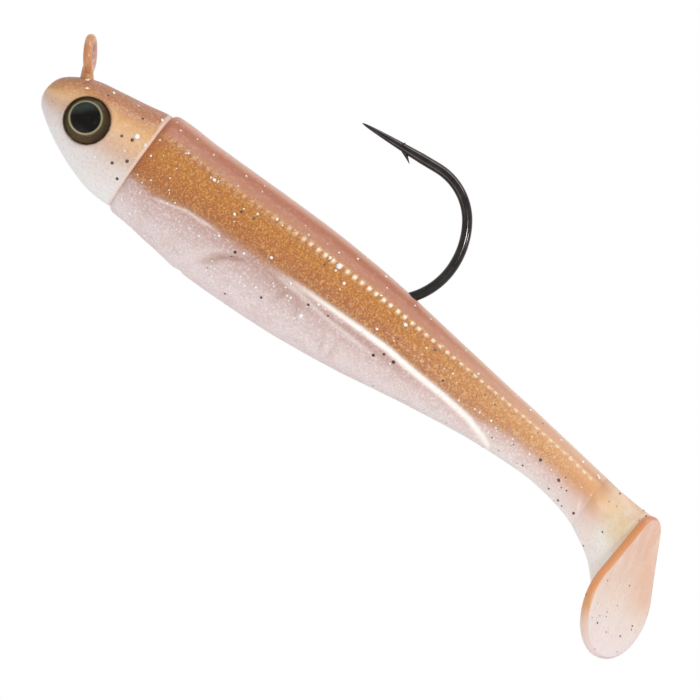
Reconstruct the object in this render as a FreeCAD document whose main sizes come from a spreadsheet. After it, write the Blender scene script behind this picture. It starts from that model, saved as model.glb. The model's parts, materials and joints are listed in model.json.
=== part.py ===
# Paddle-tail swimbait: a lead jig head inside a soft skin, on one hook, with a soft two-colour body.
# Millimetres. +X runs from nose to tail, +Z up through the hook, and the origin is the middle of the
# line tie's hole. The body axis is the level line through the nose that the outlines are measured from.
import FreeCAD, Part
import math
import os
import re
import Sketcher

Vector = FreeCAD.Vector

doc = FreeCAD.newDocument("swimbait")

# ---------------------------------------------------------------- driving sizes
sizes = {
    # line tie and wire
    "tie_back": 2.2,          # line tie's middle, behind the nose
    "tie_rise": 8.6,          # line tie's middle, above the body axis
    "tie_lean": 32,           # degrees that the line tie leans towards the nose
    "tie_radius": 2.2,        # of the wire's centre line round the eye
    "wire_diameter": 1.3,
    "coat_thickness": 0.15,   # soft coat on the line tie
    "land_depth": 0.06,       # flat that a snap wears on the inside of the coat
    "coat_foot_radius": 1.5,  # where the coat flares into the head
    "coat_foot_length": 2.4,
    # hook
    "leg_radius": 3.0,        # bend from the line tie's leg to the shank
    "shank_rise": 3.1,        # shank above the body axis
    "bend_start": 50.4,       # end of the straight shank, behind the nose
    "bend_low_radius": 10.4,
    "bend_rear_radius": 11.8,
    "bend_rear_sweep": 33.5,
    "bend_top_radius": 8.5,
    "point_dip": 4.6,         # degrees that the point turns down towards the shank
    "point_straight": 2.6,    # full wire between the bend and the taper
    "point_taper": 9.6,
    "point_tip_radius": 0.07,
    "barb_from_tip": 7.2,
    "barb_length": 2.3,
    "barb_radius": 0.34,
    "barb_lift": 12,          # degrees that the barb stands off the point
    # head
    "head_length": 17.0,
    "head_height": 15.2,
    "head_width": 12.3,
    "nose_rise": 0.9,
    "skin_thickness": 0.9,
    "keeper_radius": 2.2,
    "keeper_length": 9.0,
    "keeper_barb_radius": 3.0,
    "keeper_barb_length": 3.0,
    "keeper_barb_back": 0.8,  # plain collar behind the keeper's barb
    # eyes
    "eye_back": 7.55,
    "eye_rise": 0.9,
    "eye_radius": 3.3,
    "eye_clearance": 0.05,
    "socket_floor": 3.4,      # from the middle plane
    "foil_thickness": 0.15,
    "dome_rim": 0.4,
    "dome_rise": 1.3,
    # body
    "body_length": 91.5,
    "body_height": 17.4,
    "body_width": 13.0,
    "pour_line": -0.6,        # where the back's pour meets the belly's, from the body axis
    # flexing tail
    "tail_hinge_along": 0.623,   # share of the body's length, as the outline's stations are
    "tail_nose_across": 0.523,   # round nose on the flex line, share of the body's width
    "tail_swing": 20,
    "tail_set": -5,           # resting turn to the left side, degrees
    "stem_hinge_along": 0.9016,
    "stem_nose_across": 0.223,
    "stem_swing": 45,
    "stem_set": -28,
    "flex_gap": 0.25,
    # paddle
    "paddle_along": 0.9749,   # its rear face where it crosses the body axis
    "paddle_lean": 15,
    "paddle_thickness": 1.5,
    "paddle_top": 2.1,        # above the body axis, along the leaning face
    "paddle_low": 19.0,       # below the body axis
    "paddle_top_radius": 2.3,
    "paddle_low_radius": 7.4,
    "paddle_edge_round": 0.6,
}

# Outlines. Each station's shares are: of the length behind the front, of the height above the axis, of the
# height below it, and of the width.
headStations = {
    "lips": (0.035, 0.211, 0.066, 0.250),
    "snout": (0.135, 0.313, 0.158, 0.525),
    "brow": (0.312, 0.405, 0.276, 0.770),
    "cheek": (0.547, 0.454, 0.391, 0.915),
    "gill": (0.782, 0.497, 0.464, 0.980),
    "collar": (0.960, 0.533, 0.470, 1.000),
    "rim": (1.000, 0.480, 0.445, 0.930),
}
bodyStations = {
    "shoulder_edge": (0.000, 0.455, 0.405, 0.900),
    "shoulder_round": (0.006, 0.487, 0.430, 0.960),
    "shoulder": (0.020, 0.502, 0.440, 0.985),
    "breast": (0.080, 0.491, 0.468, 1.000),
    "deepest": (0.175, 0.489, 0.512, 1.000),
    "flank": (0.295, 0.480, 0.500, 0.940),
    "vent": (0.415, 0.437, 0.434, 0.810),
    "haunch": (0.536, 0.356, 0.333, 0.650),
    "wrist": (0.656, 0.273, 0.253, 0.510),
    "peduncle": (0.776, 0.195, 0.239, 0.385),
    "web_front": (0.858, 0.138, 0.339, 0.290),
    "web_middle": (0.907, 0.112, 0.477, 0.225),
    "web_rear": (0.958, 0.103, 0.707, 0.170),
    "web_end": (1.000, 0.103, 0.862, 0.155),
}
stationParts = ("along", "above", "below", "across")

sheet = doc.addObject("Spreadsheet::Sheet", "Sizes")
cells = dict(sizes)
for stations in (headStations, bodyStations):
    for station, shares in stations.items():
        for part, share in zip(stationParts, shares):
            cells[station + "_" + part] = share
for row, (alias, value) in enumerate(cells.items(), start=1):
    sheet.set("A%d" % row, alias)
    sheet.set("B%d" % row, str(value))
    sheet.setAlias("B%d" % row, alias)
doc.recompute()


# ---------------------------------------------------------------- helpers
def cell(text):
    """Turn bare size names in a formula into references to the sheet."""
    return "(" + re.sub("[a-z_]+", lambda word: "Sizes." * (word.group() in cells) + word.group(), text) + ")"


def place(x, z, y="0", axis="0; 1; 0", angle="0", spin=None):
    """A placement at x behind the nose and z above the body axis, turned about one world axis."""
    turn = "rotation(vector(%s); %s)" % (axis, cell(angle))
    if spin:
        turn += " * rotation(vector(0; 0; 1); %s)" % cell(spin)
    point = "vector(%s - Sizes.tie_back; %s; %s - Sizes.tie_rise)" % (cell(x), cell(y), cell(z))
    return "placement(%s; %s)" % (point, turn)


def solid(kind, name, placement, **bound):
    """One Part primitive with every size bound to the sheet."""
    item = doc.addObject("Part::" + kind, name)
    for prop, formula in bound.items():
        item.setExpression(prop, cell(formula))
    item.setExpression("Placement", placement)
    return item


def cut(name, base, *tools):
    """The base less its tools."""
    for number, tool in enumerate(tools):
        last = number == len(tools) - 1
        item = doc.addObject("Part::Cut", name if last else "%s_cut_%d" % (name, number))
        item.Base = base
        item.Tool = tool
        base = item
    return base


def common(name, first, second):
    """What two solids share."""
    item = doc.addObject("Part::Common", name)
    item.Base = first
    item.Tool = second
    return item


def fuse(name, *items):
    """Several solids joined."""
    item = doc.addObject("Part::MultiFuse", name)
    item.Shapes = list(items)
    item.Refine = False
    return item


def oval(name, along, above, below, across):
    """An upright ellipse across the axis, from its top and bottom heights and its width."""
    ring = doc.addObject("Part::Ellipse", name)
    ring.setExpression("MajorRadius", cell("( %s + %s ) / 2" % (above, below)))
    ring.setExpression("MinorRadius", cell("( %s ) / 2" % across))
    ring.setExpression("Placement", place(along, "( %s - ( %s ) ) / 2" % (above, below), angle="-90"))
    return ring


def loft(name, sections):
    """A smooth solid through its sections."""
    item = doc.addObject("Part::Loft", name)
    item.Sections = sections
    item.Solid = True
    return item


tailHinge = "( head_length + tail_hinge_along * body_length )"
stemHinge = "( head_length + stem_hinge_along * body_length )"
paddleBack = "( head_length + paddle_along * body_length )"
tailNose = "( tail_nose_across * body_width / 2 )"
stemNose = "( stem_nose_across * body_width / 2 )"
farEnd = "2 * ( head_length + body_length )"   # well past the tail


# ---------------------------------------------------------------- hook, one bent wire
def hookWire():
    wire = "wire_diameter / 2"
    eye = solid("Torus", "hook_eye", place("tie_back", "tie_rise", angle="90 - tie_lean", spin="180"),
                Radius1="tie_radius", Radius2=wire)
    # the leg drops from the bottom of the eye along the lean, then bends into the level shank
    legTopX = "tie_back + tie_radius * sin(tie_lean * 1deg)"
    legTopZ = "tie_rise - tie_radius * cos(tie_lean * 1deg)"
    legLength = ("( " + legTopZ + " - shank_rise - leg_radius * ( 1 - sin(tie_lean * 1deg) ) )"
                 " / cos(tie_lean * 1deg)")
    shankStart = (legTopX + " + " + legLength + " * sin(tie_lean * 1deg)"
                  " + leg_radius * cos(tie_lean * 1deg)")
    leg = solid("Cylinder", "hook_leg", place(legTopX, legTopZ, angle="180 - tie_lean"),
                Radius=wire, Height=legLength)
    # bends lie in the upright plane, so each torus is tipped a quarter turn about X and then spun
    upright = {"axis": "1; 0; 0", "angle": "90"}
    legBend = solid("Torus", "hook_leg_bend",
                    place(shankStart, "shank_rise + leg_radius", spin="180 + tie_lean", **upright),
                    Radius1="leg_radius", Radius2=wire, Angle3="90 - tie_lean")
    shank = solid("Cylinder", "hook_shank", place(shankStart, "shank_rise", angle="90"),
                  Radius=wire, Height="bend_start - ( " + shankStart + " )")
    middleZ = "shank_rise + bend_low_radius"
    low = solid("Torus", "hook_bend_low", place("bend_start", middleZ, spin="-90", **upright),
                Radius1="bend_low_radius", Radius2=wire, Angle3="90")
    rearX = "bend_start + bend_low_radius - bend_rear_radius"
    rear = solid("Torus", "hook_bend_rear", place(rearX, middleZ, spin="0", **upright),
                 Radius1="bend_rear_radius", Radius2=wire, Angle3="bend_rear_sweep")
    step = "( bend_rear_radius - bend_top_radius )"
    topX = rearX + " + " + step + " * cos(bend_rear_sweep * 1deg)"
    topZ = middleZ + " + " + step + " * sin(bend_rear_sweep * 1deg)"
    top = solid("Torus", "hook_bend_top", place(topX, topZ, spin="bend_rear_sweep", **upright),
                Radius1="bend_top_radius", Radius2=wire, Angle3="90 + point_dip - bend_rear_sweep")
    # the point runs forward, level but for its dip
    pointX = topX + " - bend_top_radius * sin(point_dip * 1deg)"
    pointZ = topZ + " + bend_top_radius * cos(point_dip * 1deg)"

    def alongPoint(distance):
        x = pointX + " - " + distance + " * cos(point_dip * 1deg)"
        z = pointZ + " - " + distance + " * sin(point_dip * 1deg)"
        return x, z

    straight = solid("Cylinder", "hook_point_straight", place(pointX, pointZ, angle="-90 - point_dip"),
                     Radius=wire, Height="point_straight")
    taperX, taperZ = alongPoint("point_straight")
    taper = solid("Cone", "hook_point", place(taperX, taperZ, angle="-90 - point_dip"),
                  Radius1=wire, Radius2="point_tip_radius", Height="point_taper")
    barbX, barbZ = alongPoint("( point_straight + point_taper - barb_from_tip )")
    barb = solid("Cone", "hook_barb", place(barbX, barbZ, angle="90 - point_dip + barb_lift"),
                 Radius1="point_tip_radius", Radius2="barb_radius", Height="barb_length")
    wireRuns = {"eye": eye, "leg": leg, "shank": shank, "low": low, "rear": rear}
    return fuse("jig_hook", eye, leg, legBend, shank, low, rear, top, straight, taper, barb), wireRuns


# ---------------------------------------------------------------- head
def headForm(name, inset):
    """The head's outer form, or the same form a given thickness further in."""
    nose = doc.addObject("Part::Vertex", name + "_nose")
    nose.setExpression("Placement", place(inset, "nose_rise"))
    sections = [nose]
    for station in headStations:
        if inset != "0" and station == "lips":
            continue
        sections.append(oval(
            name + "_" + station, station + "_along * head_length",
            station + "_above * head_height - " + inset, station + "_below * head_height - " + inset,
            station + "_across * head_width - 2 * " + inset))
    return loft(name, sections)


def eyeSocket(side, sign):
    """The round pocket that an eye is glued in, open outwards."""
    return solid("Cylinder", "eye_socket_" + side,
                 place("eye_back", "eye_rise", y=sign + " socket_floor", axis="1; 0; 0", angle=sign + " -90"),
                 Radius="eye_radius + eye_clearance", Height="head_width")


def eye(side, sign):
    """A printed foil disc with a clear dome on it."""
    facing = {"axis": "1; 0; 0", "angle": sign + " -90"}
    foil = solid("Cylinder", "eye_foil_" + side,
                 place("eye_back", "eye_rise", y=sign + " socket_floor", **facing),
                 Radius="eye_radius", Height="foil_thickness")
    rim = solid("Cylinder", "dome_rim_" + side,
                place("eye_back", "eye_rise", y=sign + " ( socket_floor + foil_thickness )", **facing),
                Radius="eye_radius", Height="dome_rim")
    ball = "( eye_radius * eye_radius + dome_rise * dome_rise ) / ( 2 * dome_rise )"
    ballMiddle = "( socket_floor + foil_thickness + dome_rim + dome_rise - " + ball + " )"
    cap = doc.addObject("Part::Sphere", "dome_cap_" + side)
    cap.setExpression("Radius", cell(ball))
    cap.setExpression("Angle1", cell("asin(( %s - dome_rise ) / ( %s ) )" % (ball, ball)))
    cap.setExpression("Placement", place("eye_back", "eye_rise", y=sign + " " + ballMiddle, **facing))
    return foil, fuse("eye_dome_" + side, rim, cap)


def keeper():
    """The cast collar that the soft body is pushed over, with one ring barb."""
    stem = solid("Cylinder", "keeper_stem", place("head_length - skin_thickness", "shank_rise", angle="90"),
                 Radius="keeper_radius", Height="keeper_length + skin_thickness")
    barbStart = "head_length + keeper_length - keeper_barb_back"
    ring = solid("Cone", "keeper_barb", place(barbStart, "shank_rise", angle="-90"),
                 Radius1="keeper_radius", Radius2="keeper_barb_radius", Height="keeper_barb_length")
    return stem, ring


# ---------------------------------------------------------------- body
def bodyForm(name):
    """The whole soft body, straight, from the head's rim to the paddle."""
    sections = []
    for station in bodyStations:
        sections.append(oval(
            name + "_" + station, "head_length + " + station + "_along * body_length",
            station + "_above * body_height", station + "_below * body_height",
            station + "_across * body_width"))
    return loft(name, sections)


def block(name, start, end, low, high):
    """A wide box between two distances behind the nose and two heights from the body axis."""
    return solid("Box", name, place(start, low, y="- body_width"),
                 Length=end + " - ( " + start + " )", Width="2 * body_width",
                 Height=high + " - ( " + low + " )")


def post(name, where, radius, extra="0"):
    """An upright cylinder on a flex line."""
    return solid("Cylinder", name, place(where, "- 2 * body_height"),
                 Radius=radius + " + " + extra, Height="4 * body_height")


def flexSocket(name, form, hinge, radius, swing):
    """A form ended by a hollow that the next segment's round nose turns in."""
    # the flanks stop short by what the next segment's flank swings forward
    edge = hinge + " - " + radius + " * sin(" + swing + " * 1deg) - flex_gap"
    beyond = block(name + "_beyond", edge, farEnd, "- 2 * body_height", "2 * body_height")
    hollow = post(name + "_hollow", hinge, radius, "flex_gap")
    return cut(name, form, beyond, hollow)


def flexNose(name, form, hinge, radius):
    """A form that starts with a round nose on its flex line."""
    behind = block(name + "_behind", hinge, farEnd, "- 2 * body_height", "2 * body_height")
    nose = post(name + "_nose_post", hinge, radius)
    return common(name, form, fuse(name + "_keep", behind, nose))


def turned(hinge, angle):
    """A turn about an upright flex line, as a placement formula."""
    return ("placement(vector(0; 0; 0); rotation(vector(0; 0; 1); %s); vector(%s - Sizes.tie_back; 0; 0))"
            % (cell(angle), cell(hinge)))


def pours(front, form):
    """A segment split level into its back pour and its belly pour."""
    above = block(front + "_above_line", "0", farEnd, "pour_line", "2 * body_height")
    below = block(front + "_below_line", "0", farEnd, "- 2 * body_height", "pour_line")
    return common(front + "_back", form, above), common(front + "_belly", form, below)


# ---------------------------------------------------------------- paddle
def paddlePlate():
    """The drop-shaped plate, drawn upright on its own plane and leant back."""
    body = doc.addObject("PartDesign::Body", "paddle_plate")
    plane = next(item for item in body.Origin.OriginFeatures if item.Role == "YZ_Plane")
    sketch = body.newObject("Sketcher::SketchObject", "paddle_outline")
    sketch.AttachmentSupport = [(plane, "")]
    sketch.MapMode = "FlatFace"
    topMiddle = sizes["paddle_top"] - sizes["paddle_top_radius"]
    lowMiddle = sizes["paddle_low_radius"] - sizes["paddle_low"]
    spread = sizes["paddle_low_radius"] - sizes["paddle_top_radius"]
    slope = math.asin(spread / (topMiddle - lowMiddle))
    upright = Vector(0, 0, 1)

    def arc(middle, radius, start, end):
        return Part.ArcOfCircle(Part.Circle(Vector(0, middle, 0), upright, radius), start, end)

    top = sketch.addGeometry(arc(topMiddle, sizes["paddle_top_radius"], slope, math.pi - slope))
    low = sketch.addGeometry(arc(lowMiddle, sizes["paddle_low_radius"], math.pi - slope, 2 * math.pi + slope))
    left = sketch.addGeometry(Part.LineSegment(
        sketch.Geometry[top].EndPoint, sketch.Geometry[low].StartPoint))
    right = sketch.addGeometry(Part.LineSegment(
        sketch.Geometry[low].EndPoint, sketch.Geometry[top].StartPoint))
    sketch.addConstraint([
        Sketcher.Constraint("Tangent", top, 2, left, 1),
        Sketcher.Constraint("Tangent", left, 2, low, 1),
        Sketcher.Constraint("Tangent", low, 2, right, 1),
        Sketcher.Constraint("Tangent", right, 2, top, 1),
        Sketcher.Constraint("PointOnObject", top, 3, -2),
        Sketcher.Constraint("PointOnObject", low, 3, -2),
    ])
    driven = {
        ("Radius", top): ("paddle_top_radius", sizes["paddle_top_radius"]),
        ("Radius", low): ("paddle_low_radius", sizes["paddle_low_radius"]),
        ("DistanceY", top): ("paddle_top - paddle_top_radius", topMiddle),
        ("DistanceY", low): ("paddle_low_radius - paddle_low", lowMiddle),
    }
    for (kind, edge), (formula, value) in driven.items():
        if kind == "Radius":
            number = sketch.addConstraint(Sketcher.Constraint(kind, edge, value))
        else:
            number = sketch.addConstraint(Sketcher.Constraint(kind, -1, 1, edge, 3, value))
        sketch.setExpression("Constraints[%d]" % number, cell(formula))
    pad = body.newObject("PartDesign::Pad", "paddle_pad")
    pad.Profile = sketch
    pad.Reversed = True
    pad.setExpression("Length", cell("paddle_thickness"))
    doc.recompute()
    edges = [edge.BoundBox for edge in pad.Shape.Edges]
    rims = ["Edge%d" % (number + 1) for number, box in enumerate(edges) if box.XLength < 1e-6]
    rounding = body.newObject("PartDesign::Fillet", "paddle_rounding")
    rounding.Base = (pad, rims)
    rounding.setExpression("Radius", cell("paddle_edge_round"))
    body.Tip = rounding
    body.setExpression("Placement", place(paddleBack, "0", angle="- paddle_lean"))
    return body


# ---------------------------------------------------------------- build
hook, wireRuns = hookWire()

headOuter = headForm("head_outer", "0")
headInner = headForm("head_inner", "skin_thickness")
sockets = [eyeSocket("left", "-1 *"), eyeSocket("right", "1 *")]
bothSockets = fuse("eye_sockets", *sockets)
coatFoot = solid("Cone", "coat_foot",
                 place("tie_back + tie_radius * sin(tie_lean * 1deg)",
                       "tie_rise - tie_radius * cos(tie_lean * 1deg)", angle="180 - tie_lean"),
                 Radius1="wire_diameter / 2 + coat_thickness", Radius2="coat_foot_radius",
                 Height="coat_foot_length")
headSkin = cut("head_skin", headOuter, headInner, bothSockets, hook)
stem, ring = keeper()
headCore = cut("head_weight", fuse("head_casting", headInner, stem, ring), bothSockets, hook)
coatRing = solid("Torus", "coat_ring", place("tie_back", "tie_rise", angle="90 - tie_lean", spin="180"),
                 Radius1="tie_radius", Radius2="wire_diameter / 2 + coat_thickness")
tieHole = solid("Cylinder", "tie_hole",
                place("tie_back - body_width * cos(tie_lean * 1deg)",
                      "tie_rise - body_width * sin(tie_lean * 1deg)", angle="90 - tie_lean"),
                Radius="tie_radius - wire_diameter / 2 - coat_thickness + land_depth",
                Height="2 * body_width")
tieCoat = cut("tie_coat", fuse("coat_whole", coatRing, coatFoot), wireRuns["eye"], wireRuns["leg"],
              tieHole, headOuter)
foilLeft, domeLeft = eye("left", "-1 *")
foilRight, domeRight = eye("right", "1 *")

bodyWhole = bodyForm("body_form")
frontWhole = flexSocket("body_front", bodyWhole, tailHinge, tailNose, "tail_swing")
frontHollow = cut("body_front_bored", frontWhole, stem, ring, wireRuns["shank"], wireRuns["low"])
bodyBack, bodyBelly = pours("body", frontHollow)

tailOpen = flexNose("tail_open", bodyWhole, tailHinge, tailNose)
tailWhole = flexSocket("tail_whole", tailOpen, stemHinge, stemNose, "stem_swing")
tailBack, tailBelly = pours("tail", tailWhole)
for segment in (tailBack, tailBelly):
    segment.setExpression("Placement", turned(tailHinge, "tail_set"))

stemOpen = flexNose("stem_open", bodyWhole, stemHinge, stemNose)
# the web under the stem ends inside the leaning plate
plateFront = solid("Box", "plate_front", place(paddleBack, "0", angle="- paddle_lean")
                   + " * placement(vector(%s; %s; %s); rotation(vector(0; 0; 1); 0))" % (
                       cell("- body_height - paddle_thickness / 2"),
                       cell("- body_width"), cell("- 2 * body_height")),
                   Length="body_height", Width="2 * body_width", Height="4 * body_height")
paddle = fuse("paddle", common("paddle_web", stemOpen, plateFront), paddlePlate())
paddle.setExpression("Placement", turned(tailHinge, "tail_set") + " * " + turned(stemHinge, "stem_set"))

# ---------------------------------------------------------------- check and write
pieces = {
    "jig_hook": hook, "tie_coat": tieCoat, "head_skin": headSkin, "head_weight": headCore,
    "eye_foil_left": foilLeft, "eye_dome_left": domeLeft,
    "eye_foil_right": foilRight, "eye_dome_right": domeRight,
    "body_back": bodyBack, "body_belly": bodyBelly, "tail_back": tailBack, "tail_belly": tailBelly,
    "paddle": paddle,
}
for name, item in pieces.items():
    item.Label = name
doc.recompute()
for item in doc.Objects:
    if "Invalid" in item.State or "Error" in item.State:
        raise RuntimeError("%s failed: %s" % (item.Name, item.State))
for name, item in pieces.items():
    if item.Shape.isNull() or not item.Shape.isValid():
        raise RuntimeError("%s has no valid shape" % name)
os.makedirs("parts", exist_ok=True)
for name, item in pieces.items():
    item.Shape.exportStep("parts/%s.step" % name)
    box = item.Shape.BoundBox
    print("%-16s %8.1f mm3  %d solid  x %.1f..%.1f  y %.1f..%.1f  z %.1f..%.1f" % (
        name, item.Shape.Volume, len(item.Shape.Solids),
        box.XMin, box.XMax, box.YMin, box.YMax, box.ZMin, box.ZMax))
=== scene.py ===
import json
import math
import random

import bpy
import numpy as np
from mathutils import Matrix, Vector


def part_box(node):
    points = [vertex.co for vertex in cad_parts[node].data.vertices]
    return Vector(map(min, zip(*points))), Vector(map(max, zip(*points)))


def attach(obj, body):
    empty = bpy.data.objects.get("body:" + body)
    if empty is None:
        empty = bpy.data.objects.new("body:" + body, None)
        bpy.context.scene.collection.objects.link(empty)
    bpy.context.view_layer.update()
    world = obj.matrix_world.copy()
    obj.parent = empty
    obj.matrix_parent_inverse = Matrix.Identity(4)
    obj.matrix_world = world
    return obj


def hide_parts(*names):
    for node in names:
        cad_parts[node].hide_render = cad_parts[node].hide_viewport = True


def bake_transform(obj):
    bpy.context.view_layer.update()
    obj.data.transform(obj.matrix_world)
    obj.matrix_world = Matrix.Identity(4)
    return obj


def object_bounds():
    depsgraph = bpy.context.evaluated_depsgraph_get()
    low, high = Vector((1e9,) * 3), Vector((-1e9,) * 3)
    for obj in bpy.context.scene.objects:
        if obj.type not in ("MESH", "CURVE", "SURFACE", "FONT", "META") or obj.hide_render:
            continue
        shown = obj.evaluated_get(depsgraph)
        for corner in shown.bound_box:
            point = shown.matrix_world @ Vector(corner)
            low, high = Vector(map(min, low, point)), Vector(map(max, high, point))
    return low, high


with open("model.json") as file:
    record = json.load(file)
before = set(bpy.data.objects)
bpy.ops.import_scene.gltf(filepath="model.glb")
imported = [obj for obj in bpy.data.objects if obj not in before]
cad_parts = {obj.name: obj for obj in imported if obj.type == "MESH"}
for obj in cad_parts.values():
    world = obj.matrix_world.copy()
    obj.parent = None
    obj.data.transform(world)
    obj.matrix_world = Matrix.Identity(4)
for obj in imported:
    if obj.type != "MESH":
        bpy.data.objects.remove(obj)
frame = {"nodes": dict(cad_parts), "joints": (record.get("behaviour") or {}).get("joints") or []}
cadLow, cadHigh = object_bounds()
print("frame loaded:", len(frame["nodes"]), "nodes")

# Work is laid out in millimetres back from the nose tip and up from the body axis, with the tail straight.
joints = {j["name"]: j for j in frame["joints"]}
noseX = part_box("head_skin")[0].x
axisZ = joints["tail_bend"]["pos_m"][2]
tailHinge = (joints["tail_bend"]["pos_m"][0] - noseX) * 1000
tailSet = math.radians(-5)      # the tail lies curved a little at rest
paddleSet = math.radians(-28)   # and the paddle is kicked over
paddleHinge = 99.5
tailBend = dict(start=62, end=86)       # the stretch of body that gives as the tail swings
paddleBend = dict(start=96.3, end=103.3)


def soft(low, high, value):
    # 0 below low, 1 above high, eased between
    t = np.clip((value - low) / (high - low), 0, 1)
    return t * t * (3 - 2 * t)


def passing(value, inStart, inFull, outStart, outEnd):
    # eases in over the first two places and out over the last two
    return soft(inStart, inFull, value) * (1 - soft(outStart, outEnd, value))


def bump(value, middle, width):
    return np.exp(-((value - middle) / width) ** 2)


def smoothThrough(x, knots, values):
    # an even curve through the measured stations
    knots, values = np.array(knots, float), np.array(values, float)
    slopes = np.gradient(values, knots)
    i = np.clip(np.searchsorted(knots, x) - 1, 0, len(knots) - 2)
    span = knots[i + 1] - knots[i]
    t = np.clip((x - knots[i]) / span, 0, 1)
    return ((2 * t**3 - 3 * t**2 + 1) * values[i] + (t**3 - 2 * t**2 + t) * span * slopes[i]
            + (3 * t**2 - 2 * t**3) * values[i + 1] + (t**3 - t**2) * span * slopes[i + 1])


def turnAbout(x, y, pivot, angle):
    c, s = np.cos(angle), np.sin(angle)
    return pivot + (x - pivot) * c - y * s, (x - pivot) * s + y * c


def toFrame(x, y, z):
    # straight millimetres to the frame's metres, with the tail and the paddle at their rest set
    kick = paddleSet * soft(paddleBend["start"], paddleBend["end"], x)
    swing = tailSet * soft(tailBend["start"], tailBend["end"], x)
    x, y = turnAbout(x, y, paddleHinge, kick)
    x, y = turnAbout(x, y, tailHinge, swing)
    return np.stack(np.broadcast_arrays(noseX + x / 1000, y / 1000, axisZ + z / 1000), -1)


def spot(x, z):
    # a place on the middle plane
    return Vector(toFrame(x, 0.0, z))


def pickOnly(piece):
    for other in bpy.context.selected_objects:
        other.select_set(False)
    piece.select_set(True)
    bpy.context.view_layer.objects.active = piece


def editMode(kind):
    bpy.ops.object.mode_set(mode="EDIT")
    bpy.ops.mesh.select_mode(type=kind)


def editAll(kind):
    editMode(kind)
    bpy.ops.mesh.select_all(action="SELECT")


def objectMode():
    bpy.ops.object.mode_set(mode="OBJECT")


def applyPlace():
    bpy.ops.object.transform_apply(location=True, rotation=True, scale=True)


def named(name):
    piece = bpy.context.object
    piece.name = name
    piece.data.name = name
    return piece


def points(piece):
    co = np.zeros(len(piece.data.vertices) * 3)
    piece.data.vertices.foreach_get("co", co)
    return co.reshape(-1, 3)


def around(tube):
    # for each point: its share of the length, its angle from straight up, and the side it lies on
    co = points(tube)
    return co[:, 0], np.abs(np.arctan2(co[:, 1], co[:, 2])), np.sign(np.round(co[:, 1], 6))


def movePoints(piece, co):
    piece.data.vertices.foreach_set("co", np.asarray(co, np.float32).ravel())
    piece.data.update()


def paintMask(piece, name, values):
    mask = piece.data.attributes.new(name, "FLOAT", "POINT")
    mask.data.foreach_set("value", np.clip(values, 0, 1).astype(np.float32))


def longTube(name, cuts, sides):
    # a unit cylinder along x from 0 to 1, cut into even rings ready to be shaped
    bpy.ops.mesh.primitive_cylinder_add(vertices=sides, radius=1, depth=1, end_fill_type="NGON",
                                        calc_uvs=False, location=(0.5, 0, 0), rotation=(0, math.pi / 2, 0))
    tube = named(name)
    applyPlace()
    for count in cuts:
        pickOnly(tube)
        editMode("EDGE")
        bpy.ops.mesh.select_all(action="DESELECT")
        objectMode()
        co = points(tube)
        for edge in tube.data.edges:
            a, b = edge.vertices
            edge.select = bool(abs(co[a][0] - co[b][0]) > 1e-5)
        editMode("EDGE")
        bpy.ops.mesh.subdivide(number_cuts=count)
        objectMode()
    return tube


def ringPlaces(start, end, count, startLip, endLip, lipRings=8):
    # rings crowd together where the ends round over
    quarter = 1 - np.cos(np.linspace(0, math.pi / 2, lipRings + 1))
    middle = np.linspace(start + startLip, end - endLip, count + 1 - 2 * lipRings)
    return np.concatenate([start + startLip * quarter[:-1], middle, (end - endLip * quarter[:-1])[::-1]])


def roundOver(distance, lip, inset):
    # how far the skin draws in, at a distance from the end of a rounded lip
    t = np.clip(distance / lip, 0, 1)
    return inset * (1 - np.sqrt(np.clip(1 - (1 - t) ** 2, 0, 1)))


def tidyNormals(piece):
    pickOnly(piece)
    editAll("VERT")
    bpy.ops.mesh.remove_doubles(threshold=1e-7)
    bpy.ops.mesh.normals_make_consistent(inside=False)
    objectMode()
    bpy.ops.object.shade_smooth()


def hexColour(text):
    # sRGB hex to linear
    parts = [int(text[i:i + 2], 16) / 255 for i in (0, 2, 4)]
    return [c / 12.92 if c <= 0.04045 else ((c + 0.055) / 1.055) ** 2.4 for c in parts] + [1]


def addNode(tree, kind, inputs=None, out=None, stops=None, **settings):
    # one node with its settings and links: gives back the node, or the output asked for
    made = tree.nodes.new("ShaderNode" + kind)
    for name, value in settings.items():
        setattr(made, name, value)
    for name, value in (inputs or {}).items():
        if isinstance(value, bpy.types.NodeSocket):
            tree.links.new(value, made.inputs[name])
        else:
            made.inputs[name].default_value = value
    marks = made.color_ramp.elements if stops else []
    while len(marks) < len(stops or []):
        marks.new(0.5)
    for mark, (place, colour) in zip(marks, stops or []):
        mark.position = place
        mark.color = hexColour(colour)
    return made if out is None else made.outputs[out]


def newMaterial(name, **settings):
    made = bpy.data.materials.new(name)
    made.use_nodes = True
    for socket, value in settings.items():
        made.node_tree.nodes["Principled BSDF"].inputs[socket.replace("_", " ")].default_value = value
    return made


def grain(tree, sizeMm, detail=2.0, stretch=(1, 1, 1)):
    # noise whose lumps are about sizeMm across
    place = addNode(tree, "TexCoord", out="Object")
    mapped = addNode(tree, "Mapping", {"Vector": place, "Scale": stretch}, "Vector")
    return addNode(tree, "TexNoise", {"Vector": mapped, "Scale": 1000 / sizeMm, "Detail": detail}, "Fac")


def patches(tree, sizeMm, start, full, strength, detail, stretch=(1, 1, 1)):
    # scattered patches: nothing where the noise is under start, and strength where it is over full
    return addNode(tree, "MapRange", {"Value": grain(tree, sizeMm, detail, stretch),
                                      "From Min": start, "From Max": full, "To Max": strength}, "Result")


def layered(tree, colour, layers):
    # lays each colour over the last one through its mask
    for mask, over in layers:
        if isinstance(mask, str):
            mask = addNode(tree, "Attribute", out="Fac", attribute_name=mask)
        if isinstance(over, str):
            over = hexColour(over)
        colour = addNode(tree, "Mix", {0: mask, 6: colour, 7: over}, 2, data_type="RGBA")
    return colour


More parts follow.
